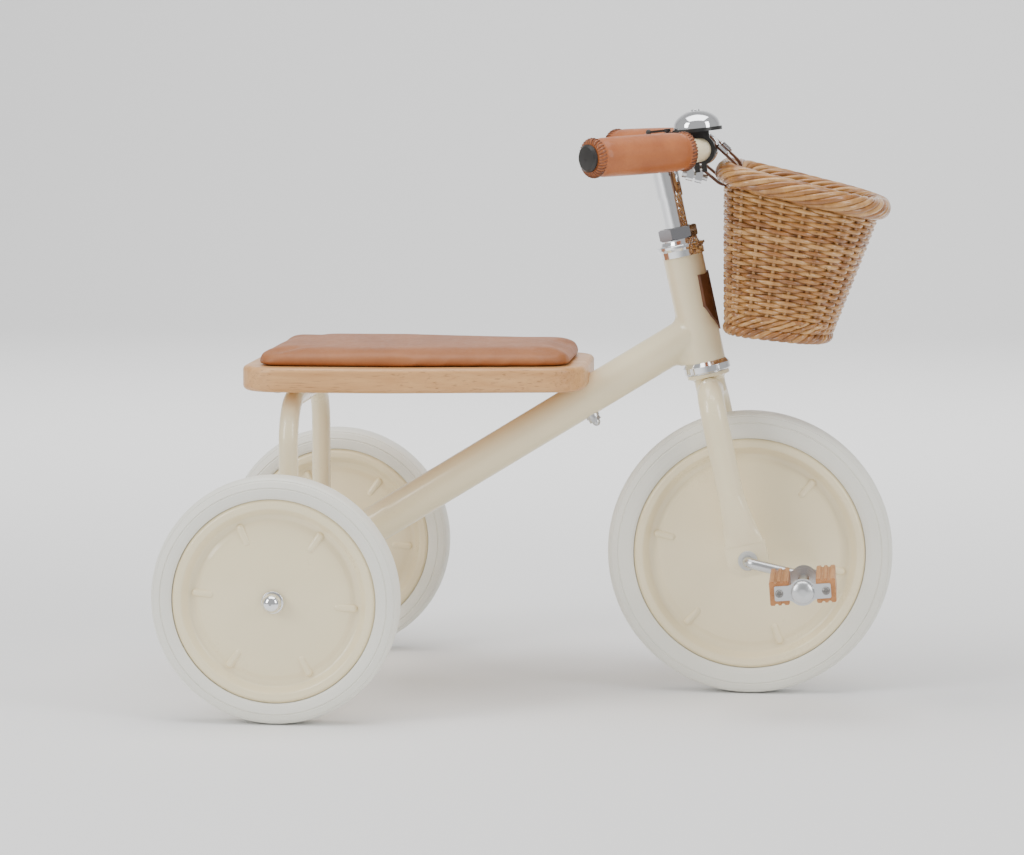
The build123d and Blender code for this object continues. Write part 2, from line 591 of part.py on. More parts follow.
def build_stem():
    """Quill stem: hollow quill, forward extension and split clamp round the bar."""
    bar = STEERING.to_local_coords(BAR_CENTRE)
    quill = Pos(0, 0, 14) * Cylinder(QUILL_R, STEM_TOP - 16, align=BOTTOM_UP)
    body = Pos(0, 0, SLEEVE_BOTTOM) * Cylinder(STEM_R, STEM_TOP - SLEEVE_BOTTOM, align=BOTTOM_UP)
    body = fillet(body.edges().sort_by(Axis.Z)[-1], 2.5)
    reach = rod((0, 0, bar.Z), (bar.X, 0, bar.Z), 9.2)
    body += reach
    seam = [edge for edge in body.edges() if edge.geom_type not in (GeomType.CIRCLE, GeomType.LINE)]
    body = fillet(seam, 5.0)
    stem = STEERING.location * (quill + body)
    barrel = fillet(Cylinder(CLAMP_R, 2 * CLAMP_HALF).edges().filter_by(GeomType.CIRCLE), 1.5)
    stem += Pos(*BAR_CENTRE) * Rot(90, 0, 0) * barrel
    ears = Box(15, 17, 22)
    ears = fillet(ears.edges().filter_by(Axis.X), 3)
    stem += ear_plane() * Pos(0, 0, -22) * ears
    stem -= Pos(*BAR_CENTRE) * Rot(90, 0, 0) * Cylinder(BAR_R + RUNNING, 100)
    stem -= ear_plane() * Pos(0, 0, -24) * Box(2.0, 60, 32)
    stem -= ear_plane() * Pos(0, 0, -EAR_BOLT_DROP) * Rot(0, 90, 0) * Cylinder(3.05, 20)
    stem -= STEERING.location * Cylinder(4.2, 400)
    return stem


def build_stem_hardware():
    bolt = Pos(0, 0, STEM_TOP) * (Cylinder(6.6, 5.2, align=BOTTOM_UP) - Pos(0, 0, 2.6) * extrude(
        RegularPolygon(3.0, 6, major_radius=False), 4))
    bolt = chamfer(bolt.edges().filter_by(GeomType.CIRCLE).sort_by(Axis.Z)[-1], 0.8)
    bolt += Cylinder(3.0, STEM_TOP, align=BOTTOM_UP)
    wedge = Pos(0, 0, -8) * Cylinder(QUILL_R, 21.6, align=BOTTOM_UP) - Cylinder(3.0, 400)
    clamp = Pos(0, 0, -EAR_BOLT_DROP) * Rot(0, 90, 0) * (
        Cylinder(3.0, 24)
        + Pos(0, 0, -7.5) * Cylinder(5.0, 4.5, align=TOP_DOWN))
    return {
        "expander_bolt": STEERING.location * bolt,
        "expander_wedge": STEERING.location * wedge,
        "stem_clamp_bolt": ear_plane() * clamp,
    }


def bar_arm(side):
    """Direction of a handle, swept back from the straight middle of the bar."""
    sweep_angle, drop = radians(BAR_SWEEP), radians(BAR_DROP)
    return Vector(-sin(sweep_angle) * cos(drop), side * cos(sweep_angle) * cos(drop), -sin(drop))


def bar_apex(side):
    return Vector(BAR_X, side * BAR_APEX_Y, BAR_Z)


def build_handlebar():
    ends = {side: bar_apex(side) + bar_arm(side) * BAR_RUN for side in (RIGHT, LEFT)}
    path = FilletPolyline(
        tuple(ends[RIGHT]), tuple(bar_apex(RIGHT)), tuple(bar_apex(LEFT)), tuple(ends[LEFT]), radius=BAR_BEND)
    return pipe(path, BAR_R, BAR_BORE)


def build_grips():
    """Padded leather sleeves and the plugs in the bar's ends."""
    parts, plugs = {}, []
    for side in (RIGHT, LEFT):
        start = bar_apex(side) + bar_arm(side) * GRIP_START
        end = bar_apex(side) + bar_arm(side) * (BAR_RUN - 1)
        sleeve = fillet(rod(start, end, GRIP_R).edges().filter_by(GeomType.CIRCLE), 5.0)
        parts["grip_%s" % SIDE_NAMES[side]] = sleeve - rod(start, end, BAR_R)
        plug = turned([
            (0, -16), (8.6, -16), (9.6, -14), (9.6, 0), (12.6, 0), (12.6, 1.6), (10.6, 3.4), (0, 4.2)])
        plugs.append(Plane(origin=bar_apex(side) + bar_arm(side) * BAR_RUN, z_dir=bar_arm(side)) * plug)
    parts["bar_end_plugs"] = Compound(plugs)
    return parts


# ---------------------------------------------------------------- bell

def bell_plane():
    tilt = radians(BELL_TILT)
    centre = BAR_CENTRE + Vector(0, BELL_Y, 0)
    return Plane(origin=centre, x_dir=(cos(tilt), 0, sin(tilt)), z_dir=(-sin(tilt), 0, cos(tilt)))


def build_bell():
    """Clamp base with its flange, dome, dome screw, and the sprung thumb lever."""
    top = BELL_FLANGE_H + 3.2
    flange = Pos(0, 0, BELL_FLANGE_H) * Cylinder(BELL_FLANGE_R, 3.2, align=BOTTOM_UP)
    ear = Pos(LEVER_PIVOT_X + 9, 0, BELL_FLANGE_H) * Box(24, 10, 2.0, align=BOTTOM_UP)
    ring = Rot(90, 0, 0) * Cylinder(BELL_RING_R, 9)
    neck = Pos(0, 0, BELL_FLANGE_H / 2 + 4) * Box(21, 9, BELL_FLANGE_H - 7)
    lug = Pos(0, 0, -16.5) * Box(11, 9, 8)
    base = flange + ear + ring + neck + lug - Rot(90, 0, 0) * Cylinder(BAR_R, 40)
    base -= Pos(0, 0, -16) * Box(2, 40, 14)
    base -= Pos(0, 0, -BELL_SCREW_DROP) * Rot(0, 90, 0) * Cylinder(1.5, 40)
    base -= Pos(LEVER_PIVOT_X, 0, BELL_FLANGE_H) * Cylinder(1.5 + RUNNING, 40)
    clamp_screw = Pos(-5.5, 0, -BELL_SCREW_DROP) * Rot(0, -90, 0) * pan_screw(2.6, 1.8, 1.5, 11)
    dome = smooth_dome(21.6, 15.8) - smooth_dome(20.4, 14.6)
    dome = Pos(0, 0, top + 0.1) * dome + Pos(0, 0, top) * Cylinder(3, 15.4, align=BOTTOM_UP)
    dome -= Pos(0, 0, top) * Cylinder(1.6, 40, align=BOTTOM_UP)
    dome_screw = Pos(0, 0, top + 15.95) * pan_screw(4.0, 1.3, 1.6, 14)
    lever_height = BELL_FLANGE_H + 2.3
    lever = Cylinder(3.0, 3.0, align=BOTTOM_UP)
    lever += Pos(-9, 0, 1.5) * Box(16, 2.6, 2.2)
    lever += Pos(-17.5, 0, 1.5) * Sphere(2.6)
    lever += Pos(0, 0, -3.4) * Cylinder(1.5, 4, align=BOTTOM_UP)
    pieces = {
        "bell_base": base, "bell_dome": dome, "bell_screws": Compound([clamp_screw, dome_screw]),
        "bell_lever": Pos(LEVER_PIVOT_X, 0, lever_height) * lever,
    }
    return {name: bell_plane() * piece for name, piece in pieces.items()}


# ---------------------------------------------------------------- basket

def basket_section(level, grow=0.0, lift=0.0):
    """Plan of the basket at one level: nearly flat back, rounder front, tilted with the level."""
    points = []
    for index in range(OUTLINE_POINTS):
        angle = 2 * pi * index / OUTLINE_POINTS
        power = 2 / (FRONT_SQUARENESS if cos(angle) > 0 else BACK_SQUARENESS)
        x = copysign(abs(cos(angle)) ** power, cos(angle)) * (level["length"] / 2 + grow)
        y = copysign(abs(sin(angle)) ** power, sin(angle)) * (level["width"] / 2 + grow)
        points.append((x, y))
    tilt = radians(level["tilt"])
    normal = Vector(sin(tilt), 0, cos(tilt))
    origin = Vector(level["x"], 0, level["z"]) + normal * lift
    plane = Plane(origin=origin, x_dir=(cos(tilt), 0, -sin(tilt)), z_dir=normal)
    return plane * Spline(*points, periodic=True)


def build_basket():
    """Open wicker body, its rolled rim, the two hanging straps and their buckles."""
    outer = loft([make_face(basket_section(BASKET_FOOT)), make_face(basket_section(BASKET_RIM))])
    hollow = loft([
        make_face(basket_section(BASKET_FOOT, -BASKET_WALL, BASKET_WALL)),
        make_face(basket_section(BASKET_RIM, -BASKET_WALL, 0.5)),
    ])
    roll = pipe(basket_section(BASKET_RIM, -BASKET_WALL / 2), RIM_ROLL_R)
    straps = [strap_loop(side) for side in (RIGHT, LEFT)]
    body = outer - hollow - roll
    for strap in straps:
        body -= strap
        roll -= strap
    return {
        "basket_body": body.solids().sort_by(SortBy.VOLUME)[-1],
        "basket_rim": roll.solids().sort_by(SortBy.VOLUME)[-1],
        "basket_straps": Compound(straps),
        "strap_buckles": Compound([strap_buckle(side) for side in (RIGHT, LEFT)]),
    }


def rim_back():
    """Centre of the rolled rim at the back of the basket."""
    tilt = radians(BASKET_RIM["tilt"])
    reach = BASKET_RIM["length"] / 2 - BASKET_WALL / 2
    return Vector(BASKET_RIM["x"] - reach * cos(tilt), 0, BASKET_RIM["z"] + reach * sin(tilt))


def strap_loop(side):
    """Belt round the handlebar and the back of the rim."""
    return Pos(0, side * STRAP_Y, 0) * extrude(Plane.XZ * strap_ring(), STRAP_WIDTH / 2, both=True)


def strap_ring():
    """Flat plan of the belt, in the X-Z plane."""
    bar_r, rim_r = BAR_R + 0.4, RIM_ROLL_R + 0.2
    rim = rim_back()
    bar_disc = (BAR_X, BAR_Z)
    rim_disc = (rim.X, rim.Z)
    outside = belt(bar_disc, bar_r + STRAP_THICK, rim_disc, rim_r + STRAP_THICK)
    return outside - belt(bar_disc, bar_r, rim_disc, rim_r)


def belt(first, first_r, second, second_r):
    """Filled outline of a belt round two discs."""
    return make_hull((Pos(*first) * Circle(first_r)).edges() + (Pos(*second) * Circle(second_r)).edges())


def strap_buckle(side):
    """Square frame with its tongue, on the upper run of a strap."""
    rim = rim_back()
    run = Vector(rim.X - BAR_X, 0, rim.Z - BAR_Z)
    lean = degrees(asin((BAR_R - RIM_ROLL_R + 0.2) / run.length))
    up = Vector(-run.Z, 0, run.X).normalized()
    middle = Vector(BAR_X, 0, BAR_Z) + run * 0.5 + up * ((BAR_R + RIM_ROLL_R + 0.6) / 2 + STRAP_THICK)
    place = Plane(origin=middle + Vector(0, side * STRAP_Y, 0), x_dir=run, z_dir=up) * Rot(0, lean, 0)
    frame = extrude(RectangleRounded(13, 19, 2) - RectangleRounded(9, 15, 1), 2.0)
    tongue = Pos(-1, 0, 1) * Box(11, 1.8, 1.6)
    return place * Pos(0, 0, 0.1) * (frame + tongue)


# ---------------------------------------------------------------- assembly

def build_all():
    nodes = {
        "head_tube": build_head_tube(),
        "main_tube": build_main_tube(),
        "rear_axle_tube": build_axle_tube(),
        "seat_hoop": build_seat_hoop(),
        "seat_screws": build_seat_screws(),
        "seat_board": build_seat_board(),
        "seat_cushion": build_seat_cushion(),
        "head_badge": build_head_badge(),
        "crank_rod": build_crank_rod(),
        "fork_blade_right": build_fork_blade(RIGHT),
        "fork_blade_left": build_fork_blade(LEFT),
        "fork_bushes": build_fork_bushes(),
        "stem": build_stem(),
        "handlebar": build_handlebar(),
    }
    for group in (
            build_seat_fastener(), build_rear_axle(), build_head_cups(), build_head_bearings(), build_fork_crown(),
            build_stem_hardware(), build_grips(), build_bell(), build_basket(), build_front_wheel(),
            build_pedal(RIGHT), build_pedal(LEFT), build_rear_wheel(RIGHT), build_rear_wheel(LEFT)):
        nodes.update(group)
    return nodes


def main():
    os.makedirs("parts", exist_ok=True)
    for name, shape in build_all().items():
        export_step(shape, os.path.join("parts", name + ".step"))


if __name__ == "__main__":
    main()
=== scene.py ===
import json
import math
import random

import bmesh
import bpy
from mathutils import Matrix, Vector


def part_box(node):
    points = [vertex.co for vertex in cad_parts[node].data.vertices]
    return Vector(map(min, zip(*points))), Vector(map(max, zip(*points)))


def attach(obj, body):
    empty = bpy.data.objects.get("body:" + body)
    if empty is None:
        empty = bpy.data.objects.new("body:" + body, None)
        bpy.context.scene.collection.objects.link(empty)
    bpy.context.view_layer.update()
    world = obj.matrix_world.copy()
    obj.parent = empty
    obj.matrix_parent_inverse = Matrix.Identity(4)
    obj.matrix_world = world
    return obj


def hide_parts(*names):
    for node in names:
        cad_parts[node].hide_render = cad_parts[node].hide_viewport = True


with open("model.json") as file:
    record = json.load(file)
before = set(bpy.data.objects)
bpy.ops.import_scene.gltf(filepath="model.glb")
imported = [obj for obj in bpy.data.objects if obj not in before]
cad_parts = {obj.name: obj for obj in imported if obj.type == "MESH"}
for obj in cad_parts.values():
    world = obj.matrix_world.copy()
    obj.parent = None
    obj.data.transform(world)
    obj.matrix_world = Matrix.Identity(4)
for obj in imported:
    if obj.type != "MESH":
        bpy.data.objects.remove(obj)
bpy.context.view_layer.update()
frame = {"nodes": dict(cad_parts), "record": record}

# Children's tricycle: looks built round the fixed frame.  Metres, in the row frame.

MM = 0.001

# Wicker basket, as levels from its foot to its rim
BASKET_FOOT = {"x": 0.2265, "z": 0.3465, "length": 0.103, "width": 0.150, "tilt": 6.0}
BASKET_RIM = {"x": 0.249, "z": 0.4803, "length": 0.153, "width": 0.201, "tilt": 13.6}
BACK_SQUARENESS = 4.4
FRONT_SQUARENESS = 2.5
WALL_MIDDLE = 4.9 * MM
CANE_R = 2.15 * MM
WEAVE_DEPTH = 2.6 * MM
WEAVE_PERIODS = 14
WEAVE_STEPS = 12
WEAVE_ROWS = 34
WEAVE_START, WEAVE_SPAN = 0.115, 0.815
OUTLINE_STEPS = 720
STAKE_R = 1.9 * MM
RIM_R = 10.5 * MM
RIM_CANES = 9
RIM_TURNS = 5
CANE_TONES = 4

# Handlebar grips
GRIP_R = 18.0 * MM
GRIP_END = 4.2 * MM
GRIP_FOLDS = 17
BAR_R = 11.1 * MM
BAR_CENTRE = Vector((0.1535, 0.0, 0.5185))
BAR_APEX = 80.0 * MM
BAR_SWEEP = math.radians(46.9)
BAR_DROP = math.radians(2.1)
GRIP_START = 13.5 * MM
GRIP_STOP = 128.0 * MM
GRIP_FOLD_LENGTH = 8.0 * MM
GRIP_ROWS = 56
GRIP_SIDES = 136
STITCH_INSET = 4.0 * MM
STITCH_LOOP_R = 3.6 * MM
STITCH_RING_R = GRIP_R - 3.9 * MM
THREAD_R = 0.75 * MM

# Seat cushion
CUSHION_VOXEL = 4.5 * MM
CUSHION_SWELL = 3.0 * MM


# ---------------------------------------------------------------- material helpers

def srgb(red, green, blue):
    """Linear colour from display values of 0 to 255."""
    def linear(value):
        value /= 255
        return value / 12.92 if value <= 0.04045 else ((value + 0.055) / 1.055) ** 2.4
    return linear(red), linear(green), linear(blue), 1.0


def new_group(name, inputs, outputs):
    """Empty node group with its sockets, and its two end nodes."""
    group = bpy.data.node_groups.new(name, "ShaderNodeTree")
    for label, kind in inputs:
        group.interface.new_socket(label, in_out="INPUT", socket_type="NodeSocket" + kind)
    for label, kind in outputs:
        group.interface.new_socket(label, in_out="OUTPUT", socket_type="NodeSocket" + kind)
    return group, group.nodes.new("NodeGroupInput"), group.nodes.new("NodeGroupOutput")


def noise(tree, vector, scale, detail=3.0, roughness=0.5, distortion=0.0):
    node = tree.nodes.new("ShaderNodeTexNoise")
    node.inputs["Scale"].default_value = scale
    node.inputs["Detail"].default_value = detail
    node.inputs["Roughness"].default_value = roughness
    node.inputs["Distortion"].default_value = distortion
    tree.links.new(vector, node.inputs["Vector"])
    return node.outputs["Fac"]


def spread(tree, value, low, high, to_low=0.0, to_high=1.0):
    """Stretches a value's range from low..high to to_low..to_high."""
    node = tree.nodes.new("ShaderNodeMapRange")
    tree.links.new(value, node.inputs["Value"])
    for label, number in (("From Min", low), ("From Max", high), ("To Min", to_low), ("To Max", to_high)):
        node.inputs[label].default_value = number
    return node.outputs["Result"]


def blend_colors(tree, factor, first, second, mode="MIX"):
    """Mix of two colours; each may be a socket or a constant, and so may the factor."""
    node = tree.nodes.new("ShaderNodeMix")
    node.data_type = "RGBA"
    node.blend_type = mode
    for index, value in ((0, factor), (6, first), (7, second)):
        if isinstance(value, bpy.types.NodeSocket):
            tree.links.new(value, node.inputs[index])
        else:
            node.inputs[index].default_value = value
    return node.outputs[2]


def calculate(tree, operation, first, second):
    node = tree.nodes.new("ShaderNodeMath")
    node.operation = operation
    for index, value in enumerate((first, second)):
        if isinstance(value, bpy.types.NodeSocket):
            tree.links.new(value, node.inputs[index])
        else:
            node.inputs[index].default_value = value
    return node.outputs[0]


def handled_group():
    """Faint unevenness of colour and gloss that every moulded, plated or painted surface has."""
    group, start, end = new_group(
        "Handled_Surface",
        [("Vector", "Vector"), ("Color", "Color"), ("Roughness", "Float")],
        [("Color", "Color"), ("Roughness", "Float")])
    cloudy = noise(group, start.outputs["Vector"], 22.0, 4.0)
    fine = noise(group, start.outputs["Vector"], 420.0, 2.0)
    shade = spread(group, cloudy, 0.3, 0.7, 0.0, 0.05)
    color = blend_colors(group, shade, start.outputs["Color"], (0.35, 0.28, 0.2, 1.0))
    group.links.new(color, end.inputs["Color"])
    gloss = calculate(group, "ADD", spread(group, cloudy, 0.3, 0.7, -0.03, 0.04), start.outputs["Roughness"])
    gloss = calculate(group, "ADD", spread(group, fine, 0.3, 0.7, -0.015, 0.015), gloss)
    group.links.new(gloss, end.inputs["Roughness"])
    return group


def wood_group():
    """Straight-grained oak: the grain runs along the vector's X."""
    group, start, end = new_group(
        "Oak_Grain",
        [("Vector", "Vector"), ("Light", "Color"), ("Dark", "Color")],
        [("Color", "Color"), ("Roughness", "Float"), ("Height", "Float")])
    vector = start.outputs["Vector"]
    bands = noise(group, vector, 42.0, 3.0, 0.55, 0.6)
    fibres = noise(group, vector, 320.0, 5.0, 0.7)
    pores = noise(group, vector, 760.0, 2.0, 0.5)
    tone = calculate(group, "MULTIPLY", spread(group, bands, 0.3, 0.72), 0.62)
    tone = calculate(group, "ADD", tone, spread(group, fibres, 0.35, 0.7, 0.0, 0.38))
    color = blend_colors(group, tone, start.outputs["Light"], start.outputs["Dark"])
    pore = spread(group, pores, 0.60, 0.70)
    color = blend_colors(group, calculate(group, "MULTIPLY", pore, 0.5), color, srgb(112, 70, 34))
    group.links.new(color, end.inputs["Color"])
    group.links.new(spread(group, fibres, 0.3, 0.7, 0.36, 0.50), end.inputs["Roughness"])
    group.links.new(calculate(group, "SUBTRACT", fibres, pore), end.inputs["Height"])
    return group


def leather_group():
    """Pebbled leather with soft changes of tone, and painted shade in the grooves between the pebbles."""
    group, start, end = new_group(
        "Leather_Grain",
        [("Vector", "Vector"), ("Light", "Color"), ("Dark", "Color"), ("Pebble", "Float")],
        [("Color", "Color"), ("Roughness", "Float"), ("Height", "Float")])
    vector = start.outputs["Vector"]
    cells = group.nodes.new("ShaderNodeTexVoronoi")
    cells.feature = "DISTANCE_TO_EDGE"
    group.links.new(vector, cells.inputs["Vector"])
    group.links.new(start.outputs["Pebble"], cells.inputs["Scale"])
    pebble = spread(group, cells.outputs["Distance"], 0.0, 0.28)
    cloudy = noise(group, vector, 26.0, 4.0, 0.6)
    creases = noise(group, vector, 190.0, 4.0, 0.6, 0.8)
    tone = spread(group, cloudy, 0.3, 0.72)
    color = blend_colors(group, tone, start.outputs["Light"], start.outputs["Dark"])
    # Painted shade: the grooves between the pebbles are darkened towards near-black.
    painted_groove_shade = calculate(group, "SUBTRACT", 1.0, pebble)
    color = blend_colors(group, calculate(group, "MULTIPLY", painted_groove_shade, 0.16), color, (0.05, 0.02, 0.01, 1.0))
    group.links.new(color, end.inputs["Color"])
    group.links.new(spread(group, creases, 0.3, 0.7, 0.40, 0.54), end.inputs["Roughness"])
    height = calculate(group, "ADD", pebble, calculate(group, "MULTIPLY", creases, 0.8))
    group.links.new(height, end.inputs["Height"])
    return group


def cane_group():
    """Varnished willow: light and dark streaks, darker spots, a faint bark texture."""
    group, start, end = new_group(
        "Willow_Cane",
        [("Vector", "Vector"), ("Light", "Color"), ("Dark", "Color")],
        [("Color", "Color"), ("Roughness", "Float"), ("Height", "Float")])
    vector = start.outputs["Vector"]
    patches = noise(group, vector, 95.0, 3.0, 0.6)
    streaks = noise(group, vector, 640.0, 3.0, 0.6)
    spots = noise(group, vector, 260.0, 1.0, 0.5)
    patchy = spread(group, patches, 0.32, 0.7, 0.0, 0.75)
    tone = calculate(group, "ADD", patchy, spread(group, streaks, 0.3, 0.7, 0.0, 0.25))
    color = blend_colors(group, tone, start.outputs["Light"], start.outputs["Dark"])
    spot = calculate(group, "MULTIPLY", spread(group, spots, 0.70, 0.76), 0.7)
    color = blend_colors(group, spot, color, srgb(64, 36, 14))
    group.links.new(color, end.inputs["Color"])
    group.links.new(spread(group, patches, 0.3, 0.7, 0.24, 0.42), end.inputs["Roughness"])
    group.links.new(streaks, end.inputs["Height"])
    return group


GROUPS = {
    "handled": handled_group(), "wood": wood_group(), "leather": leather_group(), "cane": cane_group(),
}


def base_material(name, metallic=0.0, coat=0.0, specular=0.5):
    """Principled material with its constants set, and the object's own coordinates."""
    material = bpy.data.materials.new(name)
    material.use_nodes = True
    tree = material.node_tree
    surface = tree.nodes["Principled BSDF"]
    surface.inputs["Metallic"].default_value = metallic
    surface.inputs["Coat Weight"].default_value = coat
    surface.inputs["Coat Roughness"].default_value = 0.06
    surface.inputs["Specular IOR Level"].default_value = specular
    place = tree.nodes.new("ShaderNodeTexCoord").outputs["Object"]
    return material, tree, surface, place


def add_group(tree, kind, vector, **values):
    node = tree.nodes.new("ShaderNodeGroup")
    node.node_tree = GROUPS[kind]
    tree.links.new(vector, node.inputs["Vector"])
    for label, value in values.items():
        node.inputs[label].default_value = value
    return node


def raise_surface(tree, surface, height, strength, distance):
    bump = tree.nodes.new("ShaderNodeBump")
    bump.inputs["Strength"].default_value = strength
    bump.inputs["Distance"].default_value = distance
    tree.links.new(height, bump.inputs["Height"])
    tree.links.new(bump.outputs["Normal"], surface.inputs["Normal"])


def plain_material(name, color, roughness, metallic=0.0, coat=0.0, specular=0.5, texture=None):
    """Paint, rubber, plastic or metal; texture is (scale, strength, distance) of a fine bump."""
    material, tree, surface, place = base_material(name, metallic, coat, specular)
    handled = add_group(tree, "handled", place, Color=color, Roughness=roughness)
    tree.links.new(handled.outputs["Color"], surface.inputs["Base Color"])
    tree.links.new(handled.outputs["Roughness"], surface.inputs["Roughness"])
    if texture:
        scale, strength, distance = texture
        raise_surface(tree, surface, noise(tree, place, scale, 3.0), strength, distance)
    return material


def grain_material(name, kind, light, dark, bump, coat=0.0, stretch=None, specular=0.5, **values):
    """Wood, leather or cane from its group; stretch is the grain's scale along X, Y and Z."""
    material, tree, surface, vector = base_material(name, coat=coat, specular=specular)
    if stretch:
        mapping = tree.nodes.new("ShaderNodeMapping")
        mapping.inputs["Scale"].default_value = stretch
        tree.links.new(vector, mapping.inputs["Vector"])
        vector = mapping.outputs["Vector"]
    grain = add_group(tree, kind, vector, Light=light, Dark=dark, **values)
    tree.links.new(grain.outputs["Color"], surface.inputs["Base Color"])
    tree.links.new(grain.outputs["Roughness"], surface.inputs["Roughness"])
    raise_surface(tree, surface, grain.outputs["Height"], *bump)
    return material


# ---------------------------------------------------------------- materials

CANE_LIGHT = [srgb(196, 146, 84), srgb(182, 128, 68), srgb(206, 160, 100), srgb(168, 112, 56)]
CANE_DARK = [srgb(142, 92, 42), srgb(124, 78, 34), srgb(156, 106, 54), srgb(112, 68, 28)]

MATERIALS = {
    "cream_paint": plain_material(
        "Cream_Paint", srgb(240, 226, 188), 0.30, coat=0.6, texture=(900.0, 0.05, 0.2 * MM)),
    "off_white_tyre": plain_material(
        "Off_White_Tyre", srgb(233, 232, 222), 0.48, specular=0.4, texture=(700.0, 0.10, 0.3 * MM)),
    "oak": grain_material(
        "Oak_Board", "wood", srgb(218, 170, 116), srgb(184, 130, 76), (0.16, 0.3 * MM), coat=0.12,
        stretch=(0.07, 1.0, 1.0)),
    "oak_pedal": grain_material(
        "Oak_Pedal", "wood", srgb(198, 138, 86), srgb(160, 100, 54), (0.2, 0.3 * MM), coat=0.1,
        stretch=(1.0, 0.07, 1.0)),
    "seat_leather": grain_material(
        "Seat_Leather", "leather", srgb(168, 108, 66), srgb(150, 92, 52), (0.22, 0.25 * MM), specular=0.4,
        Pebble=900.0),
    "grip_leather": grain_material(
        "Grip_Leather", "leather", srgb(186, 108, 56), srgb(158, 84, 38), (0.28, 0.3 * MM), coat=0.15,
        specular=0.45, Pebble=700.0),
    "grip_thread": grain_material(
        "Grip_Thread", "leather", srgb(150, 90, 56), srgb(84, 46, 24), (0.3, 0.2 * MM), Pebble=1500.0),
    "brown_leather": grain_material(
        "Brown_Leather", "leather", srgb(120, 74, 44), srgb(84, 48, 28), (0.25, 0.25 * MM), coat=0.1,
        Pebble=900.0),
    "chrome": plain_material("Chrome", (0.83, 0.84, 0.86, 1.0), 0.07, metallic=1.0),
    # A darkened copy of the chrome: painted shade, used for the headset locknut.
    "dark_chrome": plain_material("Painted_Shade_Chrome", (0.34, 0.34, 0.36, 1.0), 0.14, metallic=1.0),
    "zinc_steel": plain_material(
        "Zinc_Steel", (0.62, 0.63, 0.64, 1.0), 0.30, metallic=1.0, texture=(1400.0, 0.12, 0.1 * MM)),
    "dark_screw": plain_material("Dark_Screw", (0.26, 0.25, 0.24, 1.0), 0.36, metallic=1.0),
    "nylon": plain_material("Nylon", srgb(196, 196, 192), 0.42),
    "black_plastic": plain_material(
        "Black_Plastic", srgb(26, 26, 27), 0.36, texture=(1500.0, 0.12, 0.1 * MM)),
    "wicker": grain_material("Willow_0", "cane", CANE_LIGHT[0], CANE_DARK[0], (0.25, 0.2 * MM), coat=0.55),
}
CANES = [
    grain_material(
        "Willow_%d" % (tone + 1), "cane", CANE_LIGHT[tone], CANE_DARK[tone], (0.25, 0.2 * MM), coat=0.55)
    for tone in range(CANE_TONES)]

FINISH_INSTEAD = {
    "pedal_right_blocks": "oak_pedal",
    "pedal_left_blocks": "oak_pedal",
    # The locknut takes the darkened chrome, which is painted shade.
    "headset_locknut": "dark_chrome",
}


def paint_frame():
    """Gives each CAD node the finish of its material slot."""
    for entry in frame["record"]["subparts"]:
        name = entry["node"]
        finish = MATERIALS[FINISH_INSTEAD.get(name, entry["material_slot"])]
        mesh = frame["nodes"][name].data
        mesh.materials.clear()
        mesh.materials.append(finish)


# ---------------------------------------------------------------- mesh helpers

def new_piece(name, mesh, body):
    """Object for a finished mesh, riding on a body."""
    piece = bpy.data.objects.new(name, mesh)
    bpy.context.scene.collection.objects.link(piece)
    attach(piece, body)
    return piece


def strand_mesh(name, strands, materials, sides=2):
    """Mesh of round strands, each given as (points, radius, closed, material number)."""
    curve = bpy.data.curves.new(name + "_path", "CURVE")
    curve.dimensions = "3D"
    curve.bevel_resolution = sides
    curve.bevel_depth = 1.0
    curve.use_fill_caps = True
    for material in materials:
        curve.materials.append(material)
    for points, radius, closed, tone in strands:
        spline = curve.splines.new("POLY")
        spline.points.add(len(points) - 1)
        spline.use_cyclic_u = closed
        spline.material_index = tone
        for place, point in zip(spline.points, points):
            place.co = (*point, 1.0)
            place.radius = radius
    holder = bpy.data.objects.new(name + "_path", curve)
    mesh = bpy.data.meshes.new_from_object(holder)
    mesh.name = name
    bpy.data.objects.remove(holder)
    bpy.data.curves.remove(curve)
    for face in mesh.polygons:
        face.use_smooth = True
    return mesh


# ---------------------------------------------------------------- basket

def level_at(share):
    """Basket level at a share of the way from its foot to its rim."""
    return {key: BASKET_FOOT[key] + (BASKET_RIM[key] - BASKET_FOOT[key]) * share for key in BASKET_FOOT}


def level_axes(level):
    """Forward and up directions of a tilted level."""
    tilt = math.radians(level["tilt"])
    return Vector((math.cos(tilt), 0, -math.sin(tilt))), Vector((math.sin(tilt), 0, math.cos(tilt)))


def plan_point(level, angle):
    """Point of a level's outline: nearly flat back, rounder front."""
    across, along = math.sin(angle), math.cos(angle)
    power = 2 / (FRONT_SQUARENESS if along > 0 else BACK_SQUARENESS)
    x = math.copysign(abs(along) ** power, along) * level["length"] / 2
    y = math.copysign(abs(across) ** power, across) * level["width"] / 2
    forward, _ = level_axes(level)
    return Vector((level["x"], 0, level["z"])) + forward * x + Vector((0, y, 0))


def outline(level, count, inset=0.0):
    """Evenly spaced points round a level, each with its outward direction."""
    fine = [plan_point(level, 2 * math.pi * index / OUTLINE_STEPS) for index in range(OUTLINE_STEPS)]
    steps = [(fine[(index + 1) % OUTLINE_STEPS] - point).length for index, point in enumerate(fine)]
    pitch = sum(steps) / count
    _, up = level_axes(level)
    found, walked, index = [], 0.0, 0
    for number in range(count):
        while walked + steps[index] < number * pitch:
            walked += steps[index]
            index += 1
        following = fine[(index + 1) % OUTLINE_STEPS]
        point = fine[index].lerp(following, (number * pitch - walked) / steps[index])
        outward = (fine[(index + 8) % OUTLINE_STEPS] - fine[index - 7]).cross(up).normalized()
        found.append((point - outward * inset, outward))
    return found


